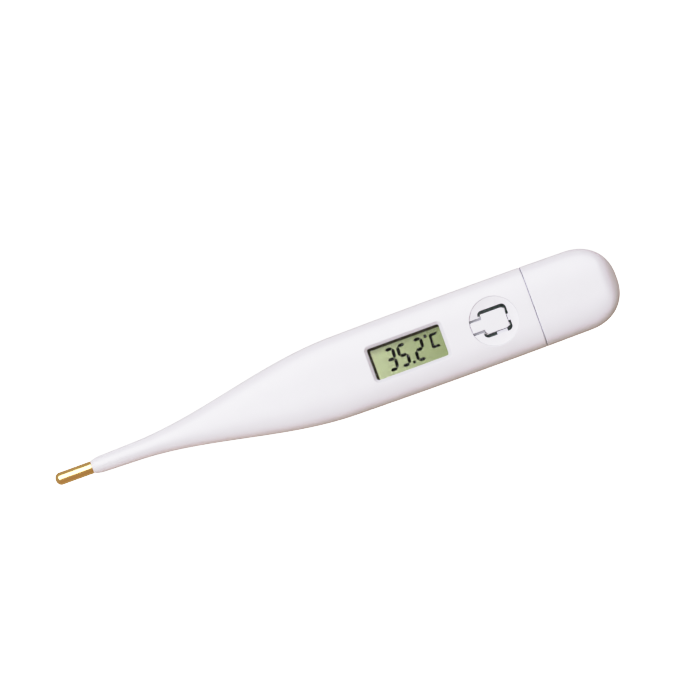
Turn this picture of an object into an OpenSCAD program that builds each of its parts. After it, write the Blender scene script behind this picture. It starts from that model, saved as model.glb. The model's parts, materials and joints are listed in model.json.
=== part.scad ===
// Digital clinical thermometer, pen type, as an assembly of separate pieces.
// Every piece is drawn by station: s runs from the probe's end (0) to the tail along +X,
// y is across, and z is above the probe's axis. placed() then moves the whole to its own
// frame: origin under the middle of the object, on the plane it rests on, display up.

/* [Body] */
// Length from the probe's end to the tail
overall_l = 125; // [124:0.5:127]
// Greatest width of the body
body_w = 17.8; // [17.6:0.1:18.6]
// Height of the body's cross-section before its underside is flattened
body_t = 10.6; // [10.6:0.1:11.2]
// How much of the underside is cut flat
foot_cut = 0.2; // [0.1:0.05:0.3]
// How square the body's cross-section is (2 is an ellipse)
body_square = 3.8; // [3.6:0.1:4.2]
// Visible length of the battery cap
cap_l = 18.6; // [18.4:0.1:18.8]

/* [Probe] */
// Diameter of the metal tip
tip_d = 2.76; // [2.7:0.02:2.8]
// Length of bare metal in front of the stem
tip_l = 8.2; // [7.8:0.1:8.6]
// Diameter of the stem where it meets the metal
stem_d = 3.56; // [3.54:0.02:3.8]

/* [Display] */
// Station of the middle of the window
window_s = 78.4; // [78.2:0.1:78.6]
// Window opening along the body
window_l = 15.9; // [15:0.1:16]
// Window opening across the body
window_w = 6.9; // [6.6:0.1:7.2]
// Width of the sloping rim round the window
window_rim = 0.65; // [0.4:0.05:0.7]

/* [Button] */
// Station of the middle of the round dish
dish_s = 97.5; // [97.4:0.1:97.6]
// Diameter of the round dish
dish_d = 10.4; // [10.3:0.1:10.6]
// Length of the press pad
pad_l = 5.2; // [4.9:0.1:5.3]
// Width of the press pad
pad_w = 4.4; // [4.3:0.1:4.6]
// Width of the neck that carries the pad
neck_w = 2.25; // [2.1:0.05:2.4]
// Width of the slot at the pad's ends
slot_end = 0.55; // [0.5:0.05:0.6]
// Width of the slot along the pad's sides
slot_side = 0.75; // [0.7:0.05:0.8]

/* [Hidden] */
$fn = 48;

clear = 0.05;   // running clearance between pieces that slide or turn
seat = 0.02;    // gap left between pieces that only rest on each other
eps = 0.01;     // overshoot of a cut past the face it opens

// Outer form
foot_z = body_t / 2 - foot_cut;
top_z = body_t / 2;
stem_draft = 0.03;                 // radius gained per millimetre of stem
nose_l = 2;                        // the stem's front tapers in over this length
nose_r = 0.38;                     // and by this much
flare = [18, 64];                  // stations where the stem widens into the body
flare_up = [16, 60];               // the same for its height
waist = 0.2;                       // the body narrows this much each side of its fullest station
fullest_s = 92;
waist_run = 28;
end_square = 2.25;                 // how blunt the tail is
tail_s = overall_l - 9;            // the plan starts to round off here
tail_up_s = overall_l - 4;         // and the height here
cap_s = overall_l - cap_l;         // parting line
part_gap = 0.14;

// Inside of the housing, and the neck that the cap slides over
bore_w = 14.4;
bore_t = 7.5;
bore_r = 2.6;
bore_s = 62;                       // the straight bore starts here
wall_z = bore_t / 2;
neck_wall = 0.7;
neck_end = cap_s + 6.6;
flare_wall = 2;
cap_wall = 1.1;
seal_s = [cap_s + 2.2, cap_s + 3.3];
seal_depth = 0.35;
board_rail = [5.8, 7.3];           // ledge along each side that carries the board

// Layers of the display and the board, as heights
board_z = -0.6;                    // top face of the circuit board
board_t = 0.8;
reflector_z = [1.0, 1.2];
rear_glass_z = [1.2, 1.9];
gap_z = [1.9, 2.0];
front_glass_z = [2.0, 2.7];
polariser_z = [2.7, 2.85];
lens_z = [3.0, 3.7];

// Display cell
glass_l = 18;
glass_y = [-4.9, 4.0];
ledge_y = 5.7;                     // the front glass reaches out to here over the zebra strip
active_y = 4.3;
lens_l = 19.4;
lens_w = 10;
mask_t = 0.04;
mask_s = [window_s - window_l / 2 + 0.6, window_s + window_l / 2 + 0.35];
mask_y = [-window_w / 2 - 0.3, window_w / 2 - 0.6];

// Press tongue
dish_depth = 0.35;
dish_z = top_z - dish_depth;
tongue_z = [wall_z + clear, dish_z];
tongue_t = tongue_z[1] - tongue_z[0];
hinge_s = dish_s - dish_d / 2 + tongue_t / 2 + clear;
hinge_z = (tongue_z[0] + tongue_z[1]) / 2;
pad_s = dish_s + 0.2;
pad_r = 0.8;
lip_gap = 0.1;                     // between the pad and the lips in its slot
neck_groove = 0.5;                 // a shallow groove runs along each side of the neck
web_w = neck_w + 2 * (neck_groove - clear);
web_z = [tongue_z[0], dish_z - 0.75];
root_s = hinge_s - 0.47;           // the slot's end behind the hinge
pusher_d = 1.4;

// Tact switch
switch_w = 4.5;
switch_top = 1.4;
cover_t = 0.2;
plunger_d = 2.2;
plunger_flange_d = 2.8;
plunger_z = [0.5, 2.9];
recess_d = 3.1;
recess_z = -0.2;

// Cell, size LR41
cell_d = 7.9;
cell_t = 3.6;
cell_s = cap_s + 7.6;
cell_z = [-1.9, -1.9 + cell_t];
can_wall = 0.25;
tray_s = [cap_s + 0.4, cell_s + 5.4];
tray_w = 12.4;
tray_z = [-3.1, 2.5];
tray_floor = cell_z[0] - 0.45;

// Board and carrier
board_s = [64.2, tray_s[0] - 0.1];
board_w = 13.6;
frame_s = [window_s - 10.9, window_s + 10.9];
rail_w = 0.9;
rail_top = 0.9;
peg_d = 1.2;
peg_spots = [for (s = [frame_s[0] + 1.1, frame_s[1] - 1.2], y = [-5, 5]) [s, y]];

// Inside the probe
shank_d = tip_d - 0.4;              // the crimped part of the cup, inside the stem
shank_end = tip_l + 4.8;
cup_wall = 0.2;
tip_round = 1.0;
socket_d = shank_d + 0.1;
lead_d = 0.22;
lead_bore_d = 2;
lead_bore_end = 32.5;
bead_d = 1.1;
bead_s = [0.8, 2.6];
filler_end = 5;
solder_spot = [board_s[0] + 1.6, 1.4];

// Buzzer, on the floor of the bore
buzzer_s = 98;
buzzer_z = -wall_z + 0.3;
disc_t = 0.2;
wire_d = 0.3;
wire_hole = [dish_s - 7.5, 3];

// ---- Form of the body ----

function mix(a, b, t) = a + (b - a) * t;
function smooth(t) = let (u = min(max(t, 0), 1)) u * u * (3 - 2 * u);
function along(span, s) = (s - span[0]) / (span[1] - span[0]);

// Radius of the stem, with its tapered front
function stem_r(s) =
  stem_d / 2 + stem_draft * (s - tip_l) - nose_r * pow(max(1 - (s - tip_l) / nose_l, 0), 1.6);

// Rounding of the tail: 1 up to station start, nearly 0 at the very end
function tail(s, start) =
  let (t = max(s - start, 0) / (overall_l - start))
  pow(max(1 - pow(t, end_square), 1e-4), 1 / end_square);

function half_w(s) =
  mix(stem_r(s), body_w / 2 - waist * ((s - fullest_s) / waist_run) ^ 2, smooth(along(flare, s)))
  * tail(s, tail_s);
function half_t(s) = mix(stem_r(s), body_t / 2, smooth(along(flare_up, s))) * tail(s, tail_up_s);
function square_at(s) = mix(2, body_square, smooth(along(flare, s)));

function spread(v, k) = sign(v) * pow(abs(v), k);
function section(s, inset, n) =
  let (a = half_w(s) - inset, b = half_t(s) - inset, k = 2 / square_at(s))
  [for (i = [0 : n - 1]) let (u = 360 * i / n) [s, a * spread(cos(u), k), b * spread(sin(u), k)]];

// A solid skinned over rings of points, each ring turning right handed about the way to the next
module skin(rings) {
  n = len(rings[0]);
  last = len(rings) - 1;
  sides = [
    for (j = [0 : last - 1], i = [0 : n - 1])
      let (p = j * n + i, q = j * n + (i + 1) % n)
      each [[p, p + n, q], [q, p + n, q + n]]
  ];
  front = [for (i = [0 : n - 1]) i];
  back = [for (i = [n - 1 : -1 : 0]) last * n + i];
  polyhedron(points = [for (ring = rings) each ring], faces = concat(sides, [front, back]));
}

// A solid through the body's cross-sections at the given stations
module loft(stations, inset = 0, n = 40) skin([for (s = stations) section(s, inset, n)]);

function steps(from, to, count) = [for (i = [0 : count]) mix(from, to, i / count)];
// Stations that crowd together towards the far end
function easing(from, to, count) = [for (i = [0 : count]) mix(from, to, sin(90 * i / count))];

module foot_plane() block([-1, overall_l + 1], both(body_w), [-body_t, -foot_z]);

// ---- Shared shapes ----

// Moves the whole from station and axis coordinates to its own frame
module placed() translate([-overall_l / 2, 0, foot_z]) children();

function both(half) = [-half, half];
function around(mid, width) = [mid - width / 2, mid + width / 2];

// A box from its range along each axis
module block(s, y, z) translate([s[0], y[0], z[0]]) cube([s[1] - s[0], y[1] - y[0], z[1] - z[0]]);

// A flat rounded rectangle, centred
module rounded(w, h, r) {
  square([w - 2 * r, h], center = true);
  square([w, h - 2 * r], center = true);
  for (x = [-1, 1], y = [-1, 1]) translate([x * (w / 2 - r), y * (h / 2 - r)]) circle(r);
}

// A rounded bar along the body, w across and h high
module bar(s, w, h, r)
  translate([s[0], 0, 0]) rotate([90, 0, 90]) linear_extrude(s[1] - s[0]) rounded(w, h, r);

// The bore's shape, grown all round by the given amount
module bore_bar(s, grow) bar(s, bore_w + 2 * grow, bore_t + 2 * grow, bore_r + grow);

// A round rod along the body
module rod(s, d) translate([s[0], 0, 0]) rotate([0, 90, 0]) cylinder(h = s[1] - s[0], d = d);
module tube(s, d, bore) difference() {
  rod(s, d);
  rod([s[0] - eps, s[1] + eps], bore);
}

// An upright plate of a plan outline, and an upright disc
module plate(z) translate([0, 0, z[0]]) linear_extrude(z[1] - z[0]) children();
module disc(s, d, z, y = 0) translate([s, y, z[0]]) cylinder(h = z[1] - z[0], d = d);

function unit(v) = v / norm(v);

// Ring of a round wire at a point, on the mitre plane between its two directions there
function bend_ring(point, before, after, d, across) =
  let (
    ahead = unit(before + after),
    a = unit(cross(across, ahead)),
    b = cross(ahead, a),
    turn = after - before,
    bend = norm(turn) > 0 ? unit(turn) : turn,
    stretch = 1 / (ahead * after) - 1
  )
  [for (u = [0 : 30 : 330])
    let (p = d / 2 * (cos(u) * a + sin(u) * b))
    point + p + bend * (bend * p) * stretch];

// A round wire through points, mitred at its bends; across is a direction it never runs along
module wire(points, d, across = [0, 0, 1]) {
  last = len(points) - 1;
  ways = [for (i = [0 : last - 1]) unit(points[i + 1] - points[i])];
  skin([
    for (i = [0 : last])
      bend_ring(points[i], ways[max(i - 1, 0)], ways[min(i, last - 1)], d, across)
  ]);
}

// A bent metal strip of constant thickness through points given as station and height
module strip(path, width, thickness) {
  last = len(path) - 1;
  function normal(i) = let (d = unit(path[i + 1] - path[i])) [-d[1], d[0]];
  function mitre(i) =
    i == 0 ? normal(0)
    : i == last ? normal(last - 1)
    : let (m = unit(normal(i - 1) + normal(i))) m / (m * normal(i));
  upper = [for (i = [0 : last]) path[i] + mitre(i) * thickness / 2];
  lower = [for (i = [last : -1 : 0]) path[i] - mitre(i) * thickness / 2];
  translate([0, width / 2, 0]) rotate([90, 0, 0]) linear_extrude(width) polygon(concat(upper, lower));
}

// ---- Enclosure ----

// A straight-sided funnel that opens upwards at 45 degrees
module funnel(l, w, rise) {
  module slope(base)
    polygon([[-base / 2, 0], [base / 2, 0], [base / 2 + rise, rise], [-base / 2 - rise, rise]]);
  intersection() {
    rotate([90, 0, 0]) linear_extrude(w + 2 * rise, center = true) slope(l);
    rotate([90, 0, 90]) linear_extrude(l + 2 * rise, center = true) slope(w);
  }
}

// Outline of the pad, grown at its ends and sides, and of a strip that joins it from a station
module tongue(grow, start, width) {
  translate([pad_s, 0]) rounded(pad_l + 2 * grow[0], pad_w + 2 * grow[1], pad_r + grow[0] / 3);
  translate([start, -width / 2]) square([pad_s - start, width]);
}

module hinge_barrel(d, width)
  translate([hinge_s, width / 2, hinge_z]) rotate([90, 0, 0]) cylinder(h = width, d = d);

module shell() {
  difference() {
    loft(concat(
      steps(tip_l, tip_l + nose_l, 6),
      [13, flare[0]],
      steps(flare[0] + 2, flare[1], 20),
      [72, 84, fullest_s, 100, cap_s - part_gap]
    ));
    foot_plane();
  }
  bore_bar([cap_s - 1, neck_end], neck_wall);
}

module display_opening() {
  plate([wall_z - 1, top_z + 1]) translate([window_s, 0]) rounded(window_l, window_w, 0.5);
  translate([window_s, 0, top_z - window_rim]) funnel(window_l, window_w, window_rim + 0.2);
}

module button_opening() {
  disc(dish_s, dish_d, [dish_z, top_z + 1]);
  plate([wall_z - 1, top_z + 1]) tongue([slot_end, slot_side], root_s, web_w + 2 * clear);
  hinge_barrel(tongue_t + 2 * clear, neck_w + 2 * clear);
}

// Two low lips that stand in the slot, at the pad's free end and along one side
module slot_lips() {
  end = pad_s + pad_l / 2;
  side = -pad_w / 2;
  block([end + lip_gap, end + slot_end + 0.3], [-0.9, 0.5], [wall_z, dish_z - 0.6]);
  block([pad_s - 0.4, pad_s + 1.9], [side - slot_side - 0.3, side - lip_gap], [wall_z, dish_z - 1]);
}

module seal_groove() difference() {
  block(seal_s, both(body_w), both(body_t));
  bore_bar([seal_s[0] - eps, seal_s[1] + eps], neck_wall - seal_depth);
}

module housing() color("whitesmoke") {
  difference() {
    shell();
    bore_bar([bore_s, neck_end + eps], 0);
    loft(steps(32, bore_s + 1, 10), flare_wall, 24);
    rod([tip_l, lead_bore_end], lead_bore_d);
    rod([tip_l - eps, shank_end], socket_d);
    seal_groove();
    display_opening();
    button_opening();
  }
  for (side = [0, 1]) mirror([0, side, 0])
    block([board_s[0], cap_s - 0.5], board_rail, [-wall_z - 0.1, board_z - board_t - seat]);
  slot_lips();
}

module power_button() color("white") {
  plate(tongue_z) tongue([0, 0], hinge_s, neck_w);
  plate(web_z) tongue([0, 0], hinge_s, web_w);
  hinge_barrel(tongue_t, neck_w);
  disc(dish_s, pusher_d, [plunger_z[1] + seat, hinge_z]);
}

module battery_cap() color("whitesmoke") difference() {
  loft(concat([cap_s, 110, 113], easing(tail_s, overall_l, 12)));
  foot_plane();
  bore_bar([cap_s - eps, neck_end + 0.3], neck_wall + clear);
  loft(concat([neck_end, tail_s], easing(tail_s + 1, overall_l - 1.6, 6)), cap_wall, 24);
}

module cap_seal() color("lightsteelblue") difference() {
  bore_bar([seal_s[0] + seat, seal_s[1] - seat], neck_wall + clear / 2);
  bore_bar([seal_s[0] - eps, seal_s[1] + eps], neck_wall - seal_depth + seat);
}

// ---- Probe ----

// Half section of the cup, radius across and station up, stepping in to its shank
module cup_outline(r, start, step, shank_r, round) {
  translate([0, start + round]) square([r, step - start - round]);
  translate([0, start]) square([r - round, round]);
  intersection() {
    translate([r - round, start + round]) circle(round);
    translate([0, start]) square([r, round]);
  }
  translate([0, step - 1]) square([shank_r, shank_end - step + 1]);
}

module probe_tip() color("goldenrod") rotate([0, 90, 0]) rotate_extrude() difference() {
  cup_outline(tip_d / 2, 0, tip_l, shank_d / 2, tip_round);
  cup_outline(
    tip_d / 2 - cup_wall, cup_wall, tip_l - cup_wall, shank_d / 2 - cup_wall, tip_round - cup_wall
  );
  translate([0, tip_l]) square([shank_d / 2 - cup_wall, shank_end]);
}

module tip_adhesive() color("khaki")
  tube([tip_l + 0.5, shank_end - 0.1], socket_d - seat, shank_d + seat);

module tip_filler() color("gray")
  tube([tip_round, filler_end], tip_d - 2 * cup_wall - seat, bead_d + seat);

module thermistor() color("saddlebrown") {
  ends = [bead_s[0] + bead_d / 2, bead_s[1] - bead_d / 2];
  rod(ends, bead_d);
  for (s = ends) translate([s, 0, 0]) sphere(d = bead_d);
}

function lead_path(side, extra = 0) = [
  [bead_s[1], side * 0.25, 0],
  [tip_l + 8, side * 0.3, 0],
  [40, side * 0.5, -0.3],
  [54, side * 1.5, -0.9],
  [board_s[0] - 3, side * 1.7, -0.2],
  [solder_spot[0] - 0.4, side * solder_spot[1], board_z + 0.24],
  [solder_spot[0] + 0.3 + extra, side * solder_spot[1], board_z + 0.24]
];

module thermistor_leads() color("firebrick") for (side = [-1, 1]) wire(lead_path(side), lead_d);

module lead_solder() color("silver") for (side = [-1, 1]) difference() {
  intersection() {
    translate([solder_spot[0], side * solder_spot[1], board_z - 0.2]) sphere(r = 0.8);
    block(around(solder_spot[0], 2), both(4), [board_z, board_z + 1]);
  }
  wire(lead_path(side, seat), lead_d + 2 * seat);
}

// ---- Display ----

module display_lens() color("lightcyan", 0.4) block(around(window_s, lens_l), both(lens_w / 2), lens_z);

// Black border printed under the lens; its opening sits a little off the window's middle
module lens_mask() color("black") difference() {
  block(around(window_s, lens_l), both(lens_w / 2), [lens_z[0] - mask_t, lens_z[0]]);
  block(mask_s, mask_y, both(lens_z[1]));
}

module front_polariser() color("darkseagreen", 0.5)
  block(around(window_s, glass_l - 1.2), both(active_y), polariser_z);

module lcd_front_glass() color("honeydew", 0.4)
  block(around(window_s, glass_l), [glass_y[0], ledge_y], front_glass_z);

module lcd_edge_seal() color("tan") difference() {
  block(around(window_s, glass_l), glass_y, gap_z);
  block(around(window_s, glass_l - 1.4), [glass_y[0] + 0.7, glass_y[1] - 0.3], [gap_z[0] - 1, gap_z[1] + 1]);
}

module lcd_rear_glass() color("honeydew", 0.4)
  block(around(window_s, glass_l), glass_y, rear_glass_z);

module lcd_reflector() color("darkseagreen")
  block(around(window_s, glass_l - 1.6), [-active_y, glass_y[1] - 0.2], reflector_z);

module zebra_strip() color("dimgray")
  block(around(window_s, glass_l - 1.6), [glass_y[1] + 0.2, ledge_y - 0.1], [board_z, front_glass_z[0]]);

// Seven-segment shapes: width and height are between the middles of the bars
digit_w = 1.62;
digit_h = 4.32;
bar_t = 0.68;
slant = 3.3;
baseline = [window_s, -2.39];
shapes = [["3", "abcdg"], ["5", "acdfg"], ["2", "abdeg"]];
function lit(shape, bar) = len(search(bar, shapes[search(shape, shapes)[0]][1])) > 0;

// One bar with pointed ends, from the origin along x
module segment(length) {
  cut = bar_t / 2;
  gap = 0.05;
  polygon([
    [gap, 0], [gap + cut, cut], [length - gap - cut, cut],
    [length - gap, 0], [length - gap - cut, -cut], [gap + cut, -cut]
  ]);
}

// One shape with its lower left corner at the origin: bar name, start, and whether it stands up
module digit(shape, w, h) {
  bars = [
    ["a", [0, h], false], ["b", [w, h / 2], true], ["c", [w, 0], true], ["d", [0, 0], false],
    ["e", [0, 0], true], ["f", [0, h / 2], true], ["g", [0, h / 2], false]
  ];
  for (b = bars) if (lit(shape, b[0]))
    translate(b[1]) rotate(b[2] ? 90 : 0) segment(b[2] ? h / 2 : w);
}

// The unit letter in one piece, open towards +x
module unit_letter(w, h) {
  t = bar_t * 0.42;
  polygon([
    [w + t, h + t], [0, h + t], [-t, h], [-t, 0], [0, -t],
    [w + t, -t], [w, t], [t, t], [t, h - t], [w, h - t]
  ]);
}

module reading() {
  lean = [[1, tan(slant), 0, 0], [0, 1, 0, 0], [0, 0, 1, 0], [0, 0, 0, 1]];
  translate(baseline) multmatrix(lean) {
    translate([-4.62, 0]) digit("3", digit_w, digit_h);
    translate([-1.9, 0]) digit("5", digit_w, digit_h);
    translate([0.66, 0]) square(bar_t * 0.85, center = true);
    translate([1.62, 0]) digit("2", digit_w, digit_h);
    translate([4.32, digit_h]) square(bar_t * 0.95, center = true);
    translate([5.36, 1.57]) unit_letter(digit_w * 0.8, digit_h * 0.6);
  }
}

module lcd_segments() color("black") plate([gap_z[0] + seat, gap_z[1] - seat]) reading();

// ---- Carrier and circuit ----

module carrier_body() {
  block(frame_s, both(7.1), [board_z, polariser_z[1] + 0.1]);
  // end walls that locate the lens
  for (end = [[frame_s[0], frame_s[0] + 1.1], [frame_s[1] - 1.1, frame_s[1]]])
    block(end, both(4.5), [board_z, wall_z - 0.08]);
  // side rails from the display to the cell tray
  for (side = [-1, 1]) block(
    [frame_s[1] - 1, tray_s[0] + 1], around(side * (7.1 - rail_w / 2), rail_w), [board_z, rail_top]
  );
  // cell tray and its broad front wall
  block([tray_s[0], tray_s[0] + 1.4], both(7.1), [tray_z[0] + 0.9, tray_z[1]]);
  block(tray_s, both(tray_w / 2), tray_z);
  for (spot = peg_spots) disc(spot[0], peg_d, [board_z - board_t - 0.5, board_z + 0.4], spot[1]);
}

module carrier_frame() color("gainsboro") intersection() {
  bore_bar([frame_s[0] - 1, tray_s[1] + 1], -0.1);
  difference() {
    carrier_body();
    // pocket for the display cell, and the well below its ledge
    block(around(window_s, glass_l + 0.2), [glass_y[0] - 0.1, ledge_y + 0.1], [rear_glass_z[0], 4]);
    block(around(window_s, glass_l - 1.4), [-active_y - 0.1, ledge_y], [board_z - 1, 4]);
    // pocket for the button cell, open to the tail
    disc(cell_s, cell_d + 0.2, [tray_floor, 4]);
    block([cell_s, tray_s[1] + 1], both(cell_d / 2 + 0.1), [tray_floor, 4]);
    // way for the two contacts through the tray's front wall
    block([tray_s[0] - 1, cell_s], both(2.2), [tray_floor, 4]);
  }
}

module circuit_board() color("seagreen") difference() {
  plate([board_z - board_t, board_z]) translate([(board_s[0] + board_s[1]) / 2, 0])
    rounded(board_s[1] - board_s[0], board_w, 0.6);
  for (spot = peg_spots) disc(spot[0], peg_d + 2 * clear, [board_z - 2, board_z + 1], spot[1]);
  for (side = [-1, 1]) disc(wire_hole[0], wire_d + 0.5, [board_z - 2, board_z + 1], side * wire_hole[1]);
}

// Potted chip: a low dome under the board
module chip_blob() color("black") intersection() {
  translate([window_s, 0, board_z - board_t + 5.2]) sphere(r = 6.4);
  disc(window_s, 8, [board_z - board_t - 2, board_z - board_t]);
}

// The same slice of each of the four chip resistors, from one end to the other
resistor_l = 2;
terminal_l = 0.35;
module resistor_slices(start, end, w, h) for (y = [-4.5, -1.5, 1.5, 4.5])
  block([window_s + 5 + start, window_s + 5 + end], around(y, w), [board_z - board_t - h, board_z - board_t]);

module chip_resistors() color("black")
  resistor_slices(terminal_l, resistor_l - terminal_l, 1.25, 0.45);

module chip_terminals() color("silver") {
  resistor_slices(0, terminal_l, 1.31, 0.5);
  resistor_slices(resistor_l - terminal_l, resistor_l, 1.31, 0.5);
}

// ---- Switch ----

module switch_base() color("dimgray") difference() {
  block(around(dish_s, switch_w), both(switch_w / 2), [board_z, switch_top - cover_t]);
  disc(dish_s, recess_d, [recess_z, switch_top]);
}

module switch_cover() color("silver") difference() {
  block(around(dish_s, switch_w), both(switch_w / 2), [switch_top - cover_t, switch_top]);
  disc(dish_s, plunger_d + 2 * clear, [switch_top - 1, switch_top + 1]);
}

module switch_legs() color("silver") for (x = [0, 1], y = [-1.6, 1.6])
  translate([dish_s, 0, 0]) mirror([x, 0, 0])
    block([switch_w / 2, switch_w / 2 + 0.9], around(y, 0.7), [board_z, board_z + 0.15]);

module switch_plunger() color("black") {
  disc(dish_s, plunger_d, plunger_z);
  disc(dish_s, plunger_flange_d, [plunger_z[0], switch_top - cover_t - clear]);
}

// Snap dome under the plunger, a thin cap of a sphere
module switch_dome() color("silver") {
  rim = recess_d / 2 - 0.15;
  rise = plunger_z[0] - recess_z - 2 * seat;
  r = (rim ^ 2 + rise ^ 2) / (2 * rise);
  intersection() {
    translate([dish_s, 0, plunger_z[0] - seat - r]) difference() {
      sphere(r);
      sphere(r - 0.08);
    }
    disc(dish_s, recess_d, [recess_z + seat, plunger_z[0]]);
  }
}

// ---- Buzzer ----

module buzzer_adhesive() color("wheat") difference() {
  disc(buzzer_s, 8.8, [-wall_z + seat, buzzer_z]);
  disc(buzzer_s, 7, [-wall_z - 1, buzzer_z + 1]);
}

module buzzer_plate() color("gold") disc(buzzer_s, 11, [buzzer_z, buzzer_z + disc_t]);

module buzzer_ceramic() color("ivory") disc(buzzer_s, 8.6, [buzzer_z + disc_t, buzzer_z + 2 * disc_t]);

// One wire to the ceramic and one to the plate, up through the board
module buzzer_wires() color("crimson") for (end = [[1, -2.4, 2], [-1, -4.4, 1]])
  wire([
    [wire_hole[0], end[0] * wire_hole[1], board_z + 0.1],
    [wire_hole[0], end[0] * wire_hole[1], buzzer_z + 1],
    [buzzer_s - 5.8, end[0] * 2.6, buzzer_z + 0.8],
    [buzzer_s + end[1], end[0] * 2, buzzer_z + end[2] * disc_t + wire_d / 2 + 0.06]
  ], wire_d, [0, 1, 0]);

// ---- Cell and its contacts ----

contact_t = 0.2;
contact_w = 2.6;

module positive_contact() color("silver") strip([
  [tray_s[0] - 4.6, board_z + contact_t / 2],
  [tray_s[0] - 1.4, board_z + contact_t / 2],
  [tray_s[0] - 0.4, cell_z[1] + 0.45],
  [cell_s - 2.6, cell_z[1] + 0.35],
  [cell_s - 0.6, cell_z[1] + seat + contact_t / 2],
  [cell_s + 1, cell_z[1] + 0.4]
], contact_w, contact_t);

module negative_contact() color("silver") strip([
  [tray_s[0] - 4.2, board_z - board_t - contact_t / 2],
  [tray_s[0] - 0.5, board_z - board_t - contact_t / 2],
  [tray_s[0] + 0.9, tray_floor + contact_t / 2 + seat],
  [cell_s - 2.4, tray_floor + contact_t / 2 + seat],
  [cell_s - 0.6, cell_z[0] - seat - contact_t / 2],
  [cell_s + 0.8, tray_floor + contact_t / 2 + 0.08]
], contact_w, contact_t);

// A disc of the cell, with z counted from its underside
module cell_disc(d, z) disc(cell_s, d, [cell_z[0] + z[0], cell_z[0] + z[1]]);
mouth_d = cell_d - 1;              // opening of the can
cap_d = cell_d - 1.6;

module cell_can() color("silver") difference() {
  cell_disc(cell_d, [0.3, cell_t]);
  cell_disc(cell_d - 2 * can_wall, [0.3 + can_wall, cell_t - can_wall]);
  cell_disc(mouth_d, [-1, 2]);
}

module cell_gasket() color("darkslateblue") difference() {
  union() {
    cell_disc(mouth_d - seat, [0.2, 0.8]);
    cell_disc(cell_d - 2 * can_wall - seat, [0.3 + can_wall + seat, 1.1]);
  }
  cell_disc(cap_d, [-1, 2]);
}

module cell_cap() color("lightgray") difference() {
  cell_disc(cap_d - seat, [0, 1.3]);
  cell_disc(cap_d - 0.4, [0.2, 2]);
}

module cell_core() color("black") {
  cell_disc(cap_d - 0.4 - seat, [0.2 + seat, 1.4]);
  cell_disc(cell_d - 2 * can_wall - seat, [1.3 + seat, cell_t - can_wall - seat]);
}

placed() housing();
placed() power_button();
placed() battery_cap();
placed() cap_seal();
placed() probe_tip();
placed() tip_adhesive();
placed() tip_filler();
placed() thermistor();
placed() thermistor_leads();
placed() lead_solder();
placed() display_lens();
placed() lens_mask();
placed() front_polariser();
placed() lcd_front_glass();
placed() lcd_edge_seal();
placed() lcd_segments();
placed() lcd_rear_glass();
placed() lcd_reflector();
placed() zebra_strip();
placed() carrier_frame();
placed() circuit_board();
placed() chip_blob();
placed() chip_resistors();
placed() chip_terminals();
placed() switch_base();
placed() switch_legs();
placed() switch_dome();
placed() switch_plunger();
placed() switch_cover();
placed() buzzer_plate();
placed() buzzer_ceramic();
placed() buzzer_adhesive();
placed() buzzer_wires();
placed() positive_contact();
placed() negative_contact();
placed() cell_can();
placed() cell_gasket();
placed() cell_cap();
placed() cell_core();
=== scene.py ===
import json
import math

import bmesh
import bpy
import numpy as np
from mathutils import Matrix, Vector


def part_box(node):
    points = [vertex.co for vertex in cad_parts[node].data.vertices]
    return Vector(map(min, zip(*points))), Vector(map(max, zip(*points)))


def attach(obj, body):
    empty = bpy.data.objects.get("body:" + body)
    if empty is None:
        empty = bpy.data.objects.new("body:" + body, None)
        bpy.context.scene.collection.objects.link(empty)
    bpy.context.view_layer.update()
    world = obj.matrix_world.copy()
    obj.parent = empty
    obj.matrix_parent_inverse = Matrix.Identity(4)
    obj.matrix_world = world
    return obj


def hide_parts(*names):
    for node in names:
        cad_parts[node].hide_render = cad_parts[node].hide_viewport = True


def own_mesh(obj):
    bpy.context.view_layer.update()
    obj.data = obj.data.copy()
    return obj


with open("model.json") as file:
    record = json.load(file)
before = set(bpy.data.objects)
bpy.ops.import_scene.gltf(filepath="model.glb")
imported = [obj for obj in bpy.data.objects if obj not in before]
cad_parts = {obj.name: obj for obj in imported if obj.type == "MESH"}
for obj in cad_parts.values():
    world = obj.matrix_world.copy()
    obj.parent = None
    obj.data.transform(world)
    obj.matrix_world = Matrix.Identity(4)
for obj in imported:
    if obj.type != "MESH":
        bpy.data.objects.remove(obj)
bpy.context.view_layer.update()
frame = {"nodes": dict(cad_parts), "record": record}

# Looks for a pen-type clinical thermometer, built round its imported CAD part.
# Lengths are in millimetres by station: s from the probe's end to the tail, y across,
# z above the probe's axis. place() turns them into the frame's metres.

# ---- Sizes taken from the CAD part ----

MM = 0.001
probe_lo, probe_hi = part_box("probe_tip")
ORIGIN = Vector((probe_lo.x, 0, (probe_lo.z + probe_hi.z) / 2))


def limits(node):
    """Lowest and highest corner of a CAD node, in station millimetres."""
    lo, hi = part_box(node)
    return (lo - ORIGIN) / MM, (hi - ORIGIN) / MM


tip_hi = limits("probe_tip")[1]
housing_lo, housing_hi = limits("housing")
cap_lo, cap_hi = limits("battery_cap")
lens_lo, lens_hi = limits("display_lens")
cover_lo, cover_hi = limits("switch_cover")
button_lo, button_hi = limits("power_button")
board_lo = limits("circuit_board")[0]

OVERALL = cap_hi.x
CAP_S = cap_lo.x
NECK_END = housing_hi.x
HALF_W = housing_hi.y
TOP = housing_hi.z
FOOT = -housing_lo.z
TIP_L = housing_lo.x
TIP_R = tip_hi.y
WINDOW_S = (lens_lo.x + lens_hi.x) / 2
DISH_S = (cover_lo.x + cover_hi.x) / 2
PAD_END = button_hi.x
PAD_W = button_hi.y
PUSHER_Z = button_lo.z

# ---- Sizes of the outer form ----

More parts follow.
